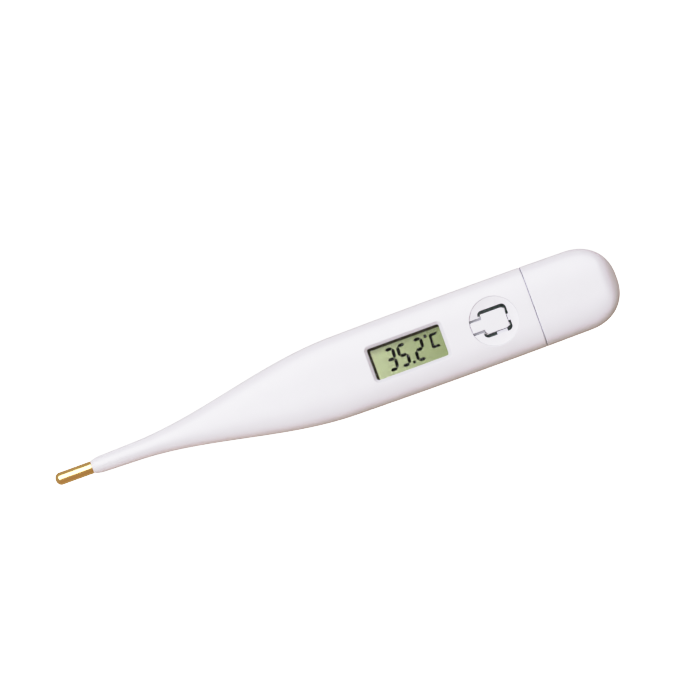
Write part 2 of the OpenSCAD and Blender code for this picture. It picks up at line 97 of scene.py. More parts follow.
STEM_R = 1.78
STEM_DRAFT = 0.03
NOSE_L = 2
NOSE_R = 0.38
FLARE = (18, 64)
FLARE_UP = (16, 60)
WAIST = 0.2
FULLEST_S = 92
WAIST_RUN = 28
SQUARE = 3.8
END_SQUARE = 2.25
TAIL_S = OVERALL - 9
TAIL_UP_S = OVERALL - 4
PART_GAP = 0.14
SEAM_ROUND = 0.18

BORE = (7.2, 3.75, 2.6)
BORE_S = 62
NECK = (7.9, 4.45, 3.3)
GROOVE_S = (CAP_S + 2.2, CAP_S + 3.3)
GROOVE_DEPTH = 0.35
FLARE_WALL = 2
LEAD_BORE_S = 32
LEAD_BORE_R = 1.0
SOCKET_S = tip_hi.x
SOCKET_R = 1.23
CAP_WALL = 1.1

WINDOW_L = 15.9
WINDOW_W = 6.9
WINDOW_RIM = 0.65
DISH_R = 5.2
DISH_Z = TOP - 0.35
SLOT_END = 0.55
SLOT_SIDE = 0.75
PAD_L = 5.2
PAD_S = PAD_END - PAD_L / 2
PAD_R = 0.8
NECK_HALF = 1.125
WEB_HALF = 1.575
HINGE = (DISH_S - 4.575, DISH_Z - 0.575)
ROOT_S = HINGE[0] - 0.435
LIP_GAP = 0.1
WEB_Z = (DISH_Z - 1.15, DISH_Z - 0.88)
RAIL_Y = (5.8, 7.32)
RAIL_FOOT = -3.9

# ---- Form ----

RING = 176
THETA = np.linspace(0, 2 * math.pi, RING, endpoint=False)
COS = np.cos(THETA)
SIN = np.sin(THETA)


def smooth(t):
    u = np.clip(t, 0, 1)
    return u * u * (3 - 2 * u)


def mix(a, b, t):
    return a + (b - a) * t


def stem_r(s):
    """Radius of the stem, eased in over its front."""
    nose = NOSE_R * np.maximum(1 - (s - TIP_L) / NOSE_L, 0) ** 1.6
    return STEM_R + STEM_DRAFT * (s - TIP_L) - nose


def tail(s, start):
    """Rounding of the tail: 1 up to start, nearly 0 at the very end."""
    t = np.clip((s - start) / (OVERALL - start), 0, 1)
    return np.maximum(1 - t**END_SQUARE, 1e-4) ** (1 / END_SQUARE)


def half_w(s):
    full = HALF_W - WAIST * ((s - FULLEST_S) / WAIST_RUN) ** 2
    return mix(stem_r(s), full, smooth((s - FLARE[0]) / (FLARE[1] - FLARE[0]))) * tail(s, TAIL_S)


def half_t(s):
    grown = smooth((s - FLARE_UP[0]) / (FLARE_UP[1] - FLARE_UP[0]))
    return mix(stem_r(s), TOP, grown) * tail(s, TAIL_UP_S)


def square_at(s):
    """How square the section is: 2 is a circle."""
    return mix(2, SQUARE, smooth((s - FLARE[0]) / (FLARE[1] - FLARE[0])))


def surface(s, y):
    """Height of the body's top surface."""
    n = square_at(s)
    return half_t(s) * np.maximum(1 - np.abs(y / half_w(s)) ** n, 0) ** (1 / n)


def rest_on_foot(z):
    """Flattens the underside at the foot plane, with a soft edge."""
    soft = 0.03
    return -FOOT + soft * np.logaddexp(0, (z + FOOT) / soft)


def body_ring(s, inset=0.0):
    """The body's cross-section at a station, as a squared ellipse."""
    n = square_at(s)
    reach = (np.abs(COS) ** n + np.abs(SIN) ** n) ** (-1 / n)
    y = (half_w(s) - inset) * COS * reach
    z = (half_t(s) - inset) * SIN * reach
    return np.column_stack([np.full(RING, s), y, rest_on_foot(z)])


def bar_ring(s, half_y, half_z, r):
    """A rounded rectangle, or a circle when both halves equal r."""
    direction = np.column_stack([half_y * np.abs(COS), half_z * np.abs(SIN)])
    hit = 1 / np.maximum(np.abs(COS), np.abs(SIN))
    corner = np.array([half_y - r, half_z - r])
    at = direction * hit[:, None]
    dd = (direction**2).sum(1)
    dc = direction @ corner
    root = np.sqrt(np.maximum(dc**2 - dd * (corner @ corner - r * r), 0))
    rounded = (dc + root) / dd
    inside = (at > corner - 1e-9).all(1)
    scale = np.where(inside, rounded, hit)
    return np.column_stack([np.full(RING, s), half_y * COS * scale, half_z * SIN * scale])


# ---- Mesh helpers ----


def place(points):
    """Station millimetres turned into the frame's metres."""
    return np.asarray(points, float) * MM + np.array(ORIGIN)


def mesh_object(name, points, faces):
    """An object in the frame's metres, its faces turned outwards."""
    mesh = bpy.data.meshes.new(name)
    mesh.from_pydata(place(points).tolist(), [], faces)
    bm = bmesh.new()
    bm.from_mesh(mesh)
    bmesh.ops.recalc_face_normals(bm, faces=bm.faces)
    bm.to_mesh(mesh)
    bm.free()
    obj = bpy.data.objects.new(name, mesh)
    bpy.context.scene.collection.objects.link(obj)
    return obj


def skin(rings, loop=False):
    """Points and side faces over rings of equal length."""
    n = len(rings[0])
    count = len(rings)
    faces = []
    for i in range(count if loop else count - 1):
        a = i * n
        b = (i + 1) % count * n
        faces += [(a + j, b + j, b + (j + 1) % n, a + (j + 1) % n) for j in range(n)]
    return np.vstack(rings), faces


def closed(name, rings):
    """A solid through rings, with flat ends."""
    points, faces = skin(rings)
    n = len(rings[0])
    last = len(points) - n
    faces.append(tuple(range(n)))
    faces.append(tuple(range(last, last + n)))
    return mesh_object(name, points, faces)


def capped(name, rings):
    """A solid through rings that ends in a middle point at both ends."""
    points, faces = skin(rings)
    n = len(rings[0])
    last = len(points) - n
    points = np.vstack([points, rings[0].mean(0), rings[-1].mean(0)])
    first_pole = len(points) - 2
    for j in range(n):
        k = (j + 1) % n
        faces.append((j, k, first_pole))
        faces.append((last + j, last + k, first_pole + 1))
    return mesh_object(name, points, faces)


def combine(obj, other, operation):
    """Applies an exact boolean of the other object, which is then removed."""
    change = obj.modifiers.new("combine", "BOOLEAN")
    change.operation = operation
    change.solver = "EXACT"
    change.object = other
    bpy.context.view_layer.update()
    made = bpy.data.meshes.new_from_object(obj.evaluated_get(bpy.context.evaluated_depsgraph_get()))
    obj.modifiers.clear()
    obj.data = made
    bpy.data.objects.remove(other)


def cut(obj, *cutters):
    for cutter in cutters:
        combine(obj, cutter, "DIFFERENCE")


def add(obj, *others):
    for other in others:
        combine(obj, other, "UNION")


def mend(obj):
    """Joins points that exact booleans leave a hair apart."""
    bm = bmesh.new()
    bm.from_mesh(obj.data)
    bmesh.ops.remove_doubles(bm, verts=bm.verts, dist=0.001 * MM)
    bmesh.ops.dissolve_degenerate(bm, edges=bm.edges, dist=0.0005 * MM)
    bm.to_mesh(obj.data)
    bm.free()


def box(name, s, y, z):
    ring = [(s[0], y[0]), (s[1], y[0]), (s[1], y[1]), (s[0], y[1])]
    return closed(name, [np.array([(p[0], p[1], h) for p in ring], float) for h in z])


def cylinder_y(name, s, z, r, half, count=48):
    u = np.linspace(0, 2 * math.pi, count, endpoint=False)
    return closed(
        name,
        [np.column_stack([s + r * np.cos(u), np.full(count, y), z + r * np.sin(u)]) for y in (-half, half)],
    )


def cylinder_z(name, s, r, z, count=48):
    u = np.linspace(0, 2 * math.pi, count, endpoint=False)
    return closed(
        name, [np.column_stack([s + r * np.cos(u), r * np.sin(u), np.full(count, h)]) for h in z]
    )


def smooth_shading(obj, degrees=30):
    """Smooth faces, with edges sharper than the angle kept crisp."""
    obj.data.polygons.foreach_set("use_smooth", [True] * len(obj.data.polygons))
    obj.data.set_sharp_from_angle(angle=math.radians(degrees))
    weighted = obj.modifiers.new("weighted_normals", "WEIGHTED_NORMAL")
    weighted.keep_sharp = True


# ---- Outlines and the profiles swept round them ----


def outline(corners, arc=10, step=0.5):
    """Points and outward normals of a rounded polygon, from anticlockwise corners (x, y, r)."""
    points, normals = [], []
    count = len(corners)
    for i in range(count):
        before, here, after = (Vector(corners[(i + k) % count][:2]) for k in (-1, 0, 1))
        r = corners[i][2]
        d0 = (here - before).normalized()
        d1 = (after - here).normalized()
        turn = math.atan2(d0.x * d1.y - d0.y * d1.x, d0.dot(d1))
        back = r * math.tan(abs(turn) / 2)
        side = 1 if turn > 0 else -1
        n0 = Vector((d0.y, -d0.x))
        centre = here - d0 * back - n0 * side * r
        start = math.atan2(n0.y, n0.x)
        for k in range(arc + 1):
            a = start + turn * k / arc
            normal = Vector((math.cos(a), math.sin(a)))
            points.append(centre + normal * side * r)
            normals.append(normal)
        following = corners[(i + 1) % count]
        ahead = Vector(following[:2])
        d2 = (Vector(corners[(i + 2) % count][:2]) - ahead).normalized()
        next_turn = abs(math.atan2(d1.x * d2.y - d1.y * d2.x, d1.dot(d2)))
        end = ahead - d1 * following[2] * math.tan(next_turn / 2)
        pieces = max(int((end - points[-1]).length / step), 1)
        begin = points[-1]
        for k in range(1, pieces):
            points.append(begin.lerp(end, k / pieces))
            normals.append(normals[-1])
    return np.array(points), np.array(normals)


def circle_outline(s, r, count=144):
    u = np.linspace(0, 2 * math.pi, count, endpoint=False)
    normals = np.column_stack([np.cos(u), np.sin(u)])
    return normals * r + np.array([s, 0]), normals


def level(z):
    """A flat height for sweep()."""
    return lambda s, y: np.full(len(s), float(z))


def below(depth):
    """A height for sweep() that follows the body's top surface."""
    return lambda s, y: surface(s, y) - depth


def sweep(name, shape, profile):
    """A solid swept round an outline, from (offset, height) pairs."""
    points, normals = shape
    rings = []
    for offset, height in profile:
        at = points + normals * offset
        rings.append(np.column_stack([at, height(at[:, 0], at[:, 1])]))
    return closed(name, rings)


def rolled_out(reach, r, base, lean=0, count=6):
    """A cut's wall rolling over into the face above it; base gives the height at a depth."""
    middle = reach + r * math.tan(math.radians(90 - lean) / 2)
    turns = np.radians(np.linspace(lean, 82, count))
    return [(middle - r * math.cos(t), base(r - r * math.sin(t))) for t in turns]


def rolled_in(r, top, count=6, start=0):
    """A solid's wall rolling over into its flat top."""
    turns = np.radians(np.linspace(start, 90, count))
    return [(r * math.cos(t) - r, level(top - r + r * math.sin(t))) for t in turns]


def pad_corners(end, side, neck, root, r, inner, root_r=0.02):
    """Corners of the pad, grown at its ends and sides, with its neck, anticlockwise."""
    left, right = PAD_S - PAD_L / 2 - end, PAD_END + end
    half = PAD_W + side
    return [
        (root, -neck, root_r),
        (left, -neck, inner),
        (left, -half, r),
        (right, -half, r),
        (right, half, r),
        (left, half, r),
        (left, neck, inner),
        (root, neck, root_r),
    ]


# ---- Housing ----


def window_cutter():
    """The display window: straight walls that lean back into a shallow sloped rim."""
    half_l, half_h = WINDOW_L / 2, WINDOW_W / 2
    corners = [(WINDOW_S + x * half_l, y * half_h, 0.5) for x, y in ((-1, -1), (1, -1), (1, 1), (-1, 1))]
    profile = [(0, level(2.5)), (0, below(WINDOW_RIM))]
    profile += rolled_out(WINDOW_RIM, 0.22, below, lean=45)
    profile.append((profile[-1][0], below(-1)))
    return sweep("window_cut", outline(corners), profile)


def dish_cutter():
    """The shallow round dish, with a hollow corner at its floor and a rounded edge."""
    foot, roll = 0.15, 0.14
    turns = np.radians(np.linspace(0, 90, 5))
    profile = [(-DISH_R + 0.5, level(DISH_Z))]
    profile += [(-foot + foot * math.sin(t), level(DISH_Z + foot - foot * math.cos(t))) for t in turns]
    profile += rolled_out(0, roll, below)
    profile.append((profile[-1][0], below(-1)))
    return sweep("dish_cut", circle_outline(DISH_S, DISH_R), profile)


def slot_cutter():
    """The open slot round the press tongue, through the dish's floor."""
    corners = pad_corners(SLOT_END, SLOT_SIDE, WEB_HALF + 0.05, ROOT_S - 0.02, PAD_R + 0.2, 0.2)
    roll = 0.06
    profile = [(0, level(2.5)), (0, level(DISH_Z - roll))]
    profile += rolled_out(0, roll, lambda depth: level(DISH_Z - depth), count=5)
    profile.append((profile[-1][0], level(TOP + 1)))
    return sweep("slot_cut", outline(corners, arc=8), profile)


def slot_lips():
    """Two low lips that stand in the slot, at the pad's free end and along one side."""
    floor = BORE[1] - 0.1
    return [
        box("end_lip", (PAD_END + LIP_GAP, PAD_END + SLOT_END + 0.3), (-0.9, 0.5), (floor, DISH_Z - 0.6)),
        box(
            "side_lip",
            (PAD_S - 0.4, PAD_S + 1.9),
            (-PAD_W - SLOT_SIDE - 0.3, -PAD_W - LIP_GAP),
            (floor, DISH_Z - 1),
        ),
    ]


def housing_rings():
    """Rings from the stem's front over the outside to the neck, then back through the bore."""
    front = [bar_ring(TIP_L, *[STEM_R - NOSE_R - 0.04] * 3), body_ring(TIP_L + 0.02, 0.02)]
    nose = [body_ring(TIP_L + 0.05 + (NOSE_L - 0.05) * t) for t in np.linspace(0, 1, 12)]
    stem = [body_ring(s) for s in np.arange(TIP_L + NOSE_L + 0.8, FLARE_UP[0], 1.0)]
    body = [body_ring(s) for s in np.arange(FLARE_UP[0], CAP_S - 0.6, 0.6)]
    seam_s = CAP_S - PART_GAP - SEAM_ROUND
    turns = np.linspace(0, math.pi / 2, 6)
    seam = [body_ring(seam_s + SEAM_ROUND * math.sin(t), SEAM_ROUND * (1 - math.cos(t))) for t in turns]
    face_s = CAP_S - PART_GAP
    worn = tuple(v - GROOVE_DEPTH for v in NECK)
    eased = tuple(v - 0.25 for v in NECK)
    neck = [
        bar_ring(face_s, *NECK),
        bar_ring(GROOVE_S[0], *NECK),
        bar_ring(GROOVE_S[0], *worn),
        bar_ring(GROOVE_S[1], *worn),
        bar_ring(GROOVE_S[1], *NECK),
        bar_ring(NECK_END - 0.25, *NECK),
        bar_ring(NECK_END, *eased),
    ]
    bore = [
        bar_ring(NECK_END, BORE[0] + 0.15, BORE[1] + 0.15, BORE[2] + 0.15),
        bar_ring(NECK_END - 0.15, *BORE),
    ]
    bore += [bar_ring(s, *BORE) for s in np.linspace(NECK_END - 3, BORE_S, 24)]
    flare = [body_ring(s, FLARE_WALL) for s in np.linspace(BORE_S, LEAD_BORE_S, 16)]
    lead = [bar_ring(s, *[LEAD_BORE_R] * 3) for s in (LEAD_BORE_S, SOCKET_S)]
    socket = [bar_ring(s, *[SOCKET_R] * 3) for s in (SOCKET_S, TIP_L)]
    return front + nose + stem + body + seam + neck + bore + flare + lead + socket


def build_housing():
    points, faces = skin(housing_rings(), loop=True)
    obj = mesh_object("housing_shell", points, faces)
    cut(obj, window_cutter(), dish_cutter(), slot_cutter())
    cut(obj, cylinder_y("seat_cut", HINGE[0], HINGE[1], 0.5, NECK_HALF + 0.05))
    for side in (-1, 1):
        y = sorted((side * RAIL_Y[0], side * RAIL_Y[1]))
        add(obj, box("rail", (board_lo.x, CAP_S - 0.5), y, (RAIL_FOOT, board_lo.z - 0.02)))
    add(obj, *slot_lips())
    mend(obj)
    smooth_shading(obj)
    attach(obj, "thermometer")
    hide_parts("housing")
    return obj


# ---- Button ----


def build_button():
    """The pad and its neck, the thin web beside the neck, and the pusher below."""
    low = DISH_Z - 1.1
    profile = [(-0.1, level(low)), (0, level(low + 0.4))]
    profile += rolled_in(0.15, DISH_Z)
    corners = pad_corners(0, 0, NECK_HALF, ROOT_S, PAD_R, 0.15, 0.17)
    obj = sweep("press_tongue", outline(corners, arc=8), profile)
    start, end = HINGE[0] - 0.35, PAD_S - PAD_L / 2 + 0.3
    side = [(start, WEB_Z[0]), (end, WEB_Z[0]), (end, WEB_Z[1]), (start, WEB_Z[1] - 0.12)]
    web = closed("web", [np.array([(s, y, z) for s, z in side]) for y in (-WEB_HALF, WEB_HALF)])
    add(obj, web, cylinder_z("pusher", DISH_S, 0.7, (PUSHER_Z, HINGE[1])))
    mend(obj)
    smooth_shading(obj)
    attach(obj, "button")
    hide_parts("power_button")
    return obj


# ---- Battery cap ----


def cap_rings():
    """Rings from the tail over the outside to the mouth, then in to the end of the hollow."""
    turns = np.linspace(0, math.pi / 2, 6)
    ends = np.sin(np.linspace(math.pi / 2, 0, 40))
    outer = [body_ring(mix(TAIL_S, OVERALL, e)) for e in ends[:-1]]
    outer += [body_ring(s) for s in np.linspace(TAIL_S, CAP_S + SEAM_ROUND + 0.3, 12)]
    outer += [
        body_ring(CAP_S + SEAM_ROUND * (1 - math.sin(t)), SEAM_ROUND * (1 - math.cos(t))) for t in turns
    ]
    mouth = tuple(v + 0.05 for v in NECK)
    depth = NECK_END + 0.3
    inner = [bar_ring(s, *mouth) for s in (CAP_S, CAP_S + 3, depth)]
    hollow = np.sin(np.linspace(0, math.pi / 2, 14))
    inner += [body_ring(mix(depth, OVERALL - 1.6, e), CAP_WALL) for e in hollow]
    return outer + inner


def build_cap():
    obj = capped("battery_cap_shell", cap_rings())
    smooth_shading(obj)
    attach(obj, "cap")
    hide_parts("battery_cap")
    return obj


# ---- Probe tip ----


def build_tip():
    """A drawn cup with a round nose, stepped down to the shank that sits in the stem."""
    wall = 0.2
    nose = 1.15
    shank = 1.18
    turns = np.linspace(0.04, math.pi / 2, 22)
    outer = [(nose * (1 - math.cos(t)), TIP_R * math.sin(t)) for t in turns]
    outer += [(s, TIP_R) for s in np.linspace(1.6, TIP_L - 0.12, 14)]
    outer += [(TIP_L - 0.04, TIP_R - 0.03), (TIP_L, TIP_R - 0.1), (TIP_L, shank), (SOCKET_S, shank)]
    inner = [(SOCKET_S, shank - wall), (TIP_L - wall, shank - wall), (TIP_L - wall, TIP_R - wall)]
    inner += [(s, TIP_R - wall) for s in (5, 2.4)]
    inner += [(wall + nose * (1 - math.cos(t)), (TIP_R - wall) * math.sin(t)) for t in turns[::-1]]
    count = 96
    u = np.linspace(0, 2 * math.pi, count, endpoint=False)
    rings = [np.column_stack([np.full(count, s), r * np.cos(u), r * np.sin(u)]) for s, r in outer + inner]
    obj = capped("probe_cup", rings)
    smooth_shading(obj, 40)
    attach(obj, "thermometer")
    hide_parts("probe_tip")
    return obj


# ---- Materials ----


class Shader:
    """A material's node tree, with short ways to add and join nodes."""

    def __init__(self, name):
        self.material = bpy.data.materials.new(name)
        self.material.use_nodes = True
        self.tree = self.material.node_tree
        self.tree.nodes.clear()
        self.output = self.tree.nodes.new("ShaderNodeOutputMaterial")
        self.coordinates = self.tree.nodes.new("ShaderNodeTexCoord").outputs["Object"]

    def node(self, kind, **values):
        made = self.tree.nodes.new("ShaderNode" + kind)
        for key, value in values.items():
            setattr(made, key, value)
        return made

    def join(self, source, target):
        self.tree.links.new(source, target)

    def noise(self, scale, detail=4, stretch=(1, 1, 1)):
        """Noise by position; scale is in cycles per metre."""
        mapping = self.node("Mapping")
        mapping.inputs["Scale"].default_value = stretch
        self.join(self.coordinates, mapping.inputs["Vector"])
        made = self.node("TexNoise")
        made.inputs["Scale"].default_value = scale
        made.inputs["Detail"].default_value = detail
        self.join(mapping.outputs["Vector"], made.inputs["Vector"])
        return made.outputs["Fac"]

    def ranged(self, source, low, high, frm=(0.3, 0.7)):
        made = self.node("MapRange")
        made.inputs["From Min"].default_value, made.inputs["From Max"].default_value = frm
        made.inputs["To Min"].default_value = low
        made.inputs["To Max"].default_value = high
        self.join(source, made.inputs["Value"])
        return made.outputs["Result"]

    def blend(self, factor, a, b):
        """Mixes two colours, each a tuple or a socket."""
        made = self.node("Mix", data_type="RGBA")
        for value, socket in ((factor, made.inputs[0]), (a, made.inputs[6]), (b, made.inputs[7])):
            if hasattr(value, "is_output"):
                self.join(value, socket)
            else:
                socket.default_value = value if isinstance(value, (int, float)) else (*value[:3], 1)
        return made.outputs[2]

    def bump(self, height, strength, distance):
        made = self.node("Bump")
        made.inputs["Strength"].default_value = strength
        made.inputs["Distance"].default_value = distance
        self.join(height, made.inputs["Height"])
        return made.outputs["Normal"]

    def surface(self, **values):
        """A principled surface joined to the output; values are numbers, colours or sockets."""
        made = self.node("BsdfPrincipled")
        for key, value in values.items():
            socket = made.inputs[key.replace("_", " ")]
            if hasattr(value, "is_output"):
                self.join(value, socket)
            else:
                socket.default_value = (*value, 1) if isinstance(value, tuple) else value
        self.join(made.outputs[0], self.output.inputs["Surface"])
        return made


def darker(colour, share):
    return tuple(c * (1 - share) for c in colour)


def moulded(
    name, colour, roughness=0.36, spread=0.03, grain=9000, depth=4e-6, painted_shade_below=None, **extra
):
    """Moulded plastic or rubber: faint mottling, uneven gloss and a fine skin texture.

    Below a given height the colour turns darker: painted shade, standing in for the shade deep in the
    grooves beside the button's neck.
    """
    sh = Shader(name)
    mottle = sh.ranged(sh.noise(260), 0, 1)
    fine = sh.noise(grain, 6)
    base = sh.blend(mottle, colour, darker(colour, spread))
    # Painted shade: below the given height the colour is darker, for the shade deep in the grooves and on
    # low walls.
    if painted_shade_below is not None:
        split = sh.node("SeparateXYZ")
        sh.join(sh.coordinates, split.inputs[0])
        web = sh.ranged(split.outputs["Z"], 1, 0, ((painted_shade_below - 0.1) * MM, painted_shade_below * MM))
        base = sh.blend(web, base, darker(colour, 0.55))
    sh.surface(
        Base_Color=base,
        Roughness=sh.ranged(sh.noise(420), roughness - 0.04, roughness + 0.06),
        Normal=sh.bump(fine, 0.5, depth),
        **extra,
    )
    return sh.material


def metal(name, colour, roughness=0.2, stretch=(1, 1, 1), grain=3000, depth=2e-6, spread=0.15):
    """Drawn or polished metal: grain along one way and tarnish patches."""
    sh = Shader(name)
    patches = sh.ranged(sh.noise(300), 0, 1)
    lines = sh.noise(grain, 5, stretch)
    sh.surface(
        Base_Color=sh.blend(patches, colour, darker(colour, spread)),
        Metallic=1.0,
        Roughness=sh.ranged(lines, roughness - 0.05, roughness + 0.08),
        Normal=sh.bump(lines, 0.4, depth),
    )
    return sh.material


def clear(name, tint, gloss=0.5, roughness=0.03, smudge=0.3):
    """A thin clear layer: tinted see-through with a faintly smudged reflection."""
    sh = Shader(name)
    through = sh.node("BsdfTransparent")
    tint_node = sh.blend(sh.ranged(sh.noise(500), 0, 0.5), tint, darker(tint, 0.03))
    sh.join(tint_node, through.inputs["Color"])
    shine = sh.node("BsdfGlossy")
    sh.join(sh.ranged(sh.noise(700), roughness, roughness + smudge * 0.2), shine.inputs["Roughness"])
    fresnel = sh.node("Fresnel")
    fresnel.inputs["IOR"].default_value = 1.45
    share = sh.node("Math", operation="MULTIPLY")
    sh.join(fresnel.outputs[0], share.inputs[0])
    share.inputs[1].default_value = gloss
    both = sh.node("MixShader")
    sh.join(share.outputs[0], both.inputs[0])
    sh.join(through.outputs[0], both.inputs[1])
    sh.join(shine.outputs[0], both.inputs[2])
    sh.join(both.outputs[0], sh.output.inputs["Surface"])
    return sh.material


def reflector(name):
    """The display's grey-green back, finely grained, with painted light: a faint painted glow, painted
    lighter towards the probe, and a painted shadow along +Y.
    """
    sh = Shader(name)
    split = sh.node("SeparateXYZ")
    sh.join(sh.coordinates, split.inputs[0])
    lo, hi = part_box("lcd_reflector")
    # Painted light: the display is lighter towards the probe end.
    along = sh.ranged(split.outputs["X"], 0, 1, (lo.x, hi.x))
    colour = sh.blend(along, (0.605, 0.618, 0.52), (0.415, 0.455, 0.295))
    # Painted shadow along the display's +Y edge, where the window's wall would shade it.
    across = sh.ranged(split.outputs["Y"], 0, 0.5, (hi.y - 2.1 * MM, hi.y - 0.5 * MM))
    colour = sh.blend(across, colour, (0.04, 0.04, 0.02))
    grain = sh.ranged(sh.noise(9000, 3), 0, 1)
    grained = sh.blend(grain, colour, sh.blend(0.12, colour, (0.1, 0.14, 0.06)))
    sh.surface(
        Base_Color=grained,
        Roughness=0.55,
        # Painted glow, so that the deep display stays bright.
        Emission_Color=grained,
        Emission_Strength=0.8,
        Normal=sh.bump(sh.noise(12000), 0.5, 4e-6),
    )
    return sh.material


def board(name):
    """Solder-masked circuit board with paler tracks."""
    sh = Shader(name)
    cells = sh.node("TexBrick")
    sh.join(sh.coordinates, cells.inputs["Vector"])
    cells.inputs["Scale"].default_value = 450
    cells.inputs["Mortar Size"].default_value = 0.06
    cells.inputs["Color1"].default_value = (0.012, 0.05, 0.038, 1)
    cells.inputs["Color2"].default_value = (0.015, 0.06, 0.045, 1)
    cells.inputs["Mortar"].default_value = (0.05, 0.13, 0.09, 1)
    sh.surface(
        Base_Color=cells.outputs["Color"],
        Roughness=sh.ranged(sh.noise(900), 0.25, 0.4),
        Normal=sh.bump(cells.outputs["Fac"], 0.4, 2e-5),
    )
    return sh.material


MATERIALS = {
    "abs_white": moulded("abs_white", (0.80, 0.80, 0.875)),
    "abs_cap": moulded("abs_cap", (0.785, 0.787, 0.865)),
    # The button's plastic, with painted shade low down beside its neck.
    "abs_button": moulded("abs_button", (0.80, 0.805, 0.88), 0.33, painted_shade_below=FOOT + WEB_Z[1] + 0.08),
    "silicone": moulded("silicone", (0.30, 0.38, 0.45), 0.5, 0.08, 5000, 1e-5),
    "gold_metal": metal("gold_metal", (0.88, 0.60, 0.22), 0.12, (0.15, 1, 1), 5000, 1e-6, 0.12),
    "epoxy": moulded("epoxy", (0.04, 0.04, 0.045), 0.2, 0.3),
    "adhesive": moulded("adhesive", (0.72, 0.62, 0.36), 0.15, 0.15, 2000, 2e-5),
    "bead_glass": moulded("bead_glass", (0.22, 0.06, 0.02), 0.08, 0.3),
    "wire_red": moulded("wire_red", (0.45, 0.02, 0.015), 0.3, 0.1),
    "solder": metal("solder", (0.62, 0.63, 0.66), 0.25, grain=1500, depth=1e-5),
    "clear_lens": clear("clear_lens", (0.985, 0.985, 0.975), 0.06),
    "mask_ink": moulded("mask_ink", (0.040, 0.036, 0.012), 0.4, 0.3, Specular_IOR_Level=0.08),
    "polariser": clear("polariser", (0.93, 0.94, 0.86), 0.04),
    "lcd_glass": clear("lcd_glass", (0.975, 0.985, 0.965), 0.04),
    "lcd_seal": moulded("lcd_seal", (0.45, 0.38, 0.20), 0.4, 0.1),
    "lcd_dark": moulded("lcd_dark", (0.010, 0.018, 0.004), 0.5, 0.3, Specular_IOR_Level=0.15),
    "lcd_reflector": reflector("lcd_reflector"),
    "zebra": moulded("zebra", (0.07, 0.07, 0.08), 0.6, 0.4, 3000, 2e-5),
    "abs_carrier": moulded("abs_carrier", (0.62, 0.62, 0.60), 0.5, 0.04, 5000, 1e-5),
    "board": board("board"),
    "black_epoxy": moulded("black_epoxy", (0.01, 0.01, 0.011), 0.25, 0.4, 1200, 3e-5),
    "resistor_black": moulded("resistor_black", (0.012, 0.012, 0.014), 0.35, 0.3),
    "tinned": metal("tinned", (0.66, 0.66, 0.67), 0.3, grain=2000, depth=5e-6),
    "switch_black": moulded("switch_black", (0.014, 0.014, 0.016), 0.45, 0.3, 6000, 8e-6),
    "spring_steel": metal("spring_steel", (0.58, 0.57, 0.55), 0.24, (0.1, 1, 1), 4000),
    "brass_disc": metal("brass_disc", (0.72, 0.48, 0.18), 0.28, (0.2, 1, 1), 4000, 3e-6, 0.25),
    "piezo": moulded("piezo", (0.70, 0.66, 0.56), 0.6, 0.1, 7000, 8e-6),
    "nickel": metal("nickel", (0.64, 0.61, 0.56), 0.22, (0.15, 1, 1), 3500),
    "cell_gasket": moulded("cell_gasket", (0.02, 0.035, 0.09), 0.5, 0.2),
    "cell_mix": moulded("cell_mix", (0.02, 0.02, 0.02), 0.9, 0.5, 2500, 5e-5),
}


def dress(obj, slot):
    """Gives an object the material of its slot in the record."""
    obj.data.materials.clear()
    obj.data.materials.append(MATERIALS[slot])


def soften(obj, width):
    """Welds a CAD node's split edges and eases its sharp ones."""
    weld = obj.modifiers.new("weld", "WELD")
    weld.merge_threshold = 1e-6
    bevel = obj.modifiers.new("eased_edges", "BEVEL")
    bevel.width = width
    bevel.segments = 2
    bevel.limit_method = "ANGLE"
    bevel.angle_limit = math.radians(40)


pieces = {
    "housing": build_housing(),
    "power_button": build_button(),
    "battery_cap": build_cap(),
    "probe_tip": build_tip(),
}
slots = {part["node"]: part["material_slot"] for part in frame["record"]["subparts"]}
for node, slot in slots.items():
    if node in pieces:
        dress(pieces[node], slot)
    else:
        dress(frame["nodes"][node], slot)

for node in ("carrier_frame", "circuit_board", "display_lens", "lcd_front_glass", "lcd_rear_glass"):
    soften(frame["nodes"][node], 0.06 * MM)
for node in ("switch_base", "switch_cover", "cell_can", "cell_cap", "buzzer_plate", "cap_seal"):
    soften(frame["nodes"][node], 0.03 * MM)

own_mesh(frame["nodes"]["switch_dome"])

# ---- Stage ----

BACKDROP = (3, 3, 3)


def build_floor():
    """White to the camera from above; to the object, a warm bounce, dim beside the body at -Y."""
    half = 1.5
    points = [(x * half, y * half, 0) for x, y in ((-1, -1), (1, -1), (1, 1), (-1, 1))]
    mesh = bpy.data.meshes.new("floor")
    mesh.from_pydata(points, [], [(0, 1, 2, 3)])
    floor = bpy.data.objects.new("floor", mesh)
    bpy.context.scene.collection.objects.link(floor)
    sh = Shader("floor")
    path = sh.node("LightPath")
    split = sh.node("SeparateXYZ")
    sh.join(sh.coordinates, split.inputs[0])
    across = sh.ranged(split.outputs["Y"], 0, 1, (-12 * MM, 12 * MM))
    along = sh.ranged(split.outputs["X"], 0, 1, (-25 * MM, 5 * MM))
    low = sh.blend(along, (0.8, 0.62, 0.52), (0.32, 0.19, 0.08))
    shading = sh.blend(across, low, (0.92, 0.78, 0.75))
    bounce = sh.blend(path.outputs["Is Glossy Ray"], shading, (0.55, 0.46, 0.38))
    glow = sh.node("Emission")
    sh.join(sh.blend(path.outputs["Is Camera Ray"], bounce, BACKDROP), glow.inputs["Color"])
    under = sh.node("MixShader")
    sh.join(sh.node("NewGeometry").outputs["Backfacing"], under.inputs[0])
    sh.join(glow.outputs[0], under.inputs[1])
    sh.join(sh.node("BsdfTransparent").outputs[0], under.inputs[2])
    sh.join(under.outputs[0], sh.output.inputs["Surface"])
    mesh.materials.append(sh.material)


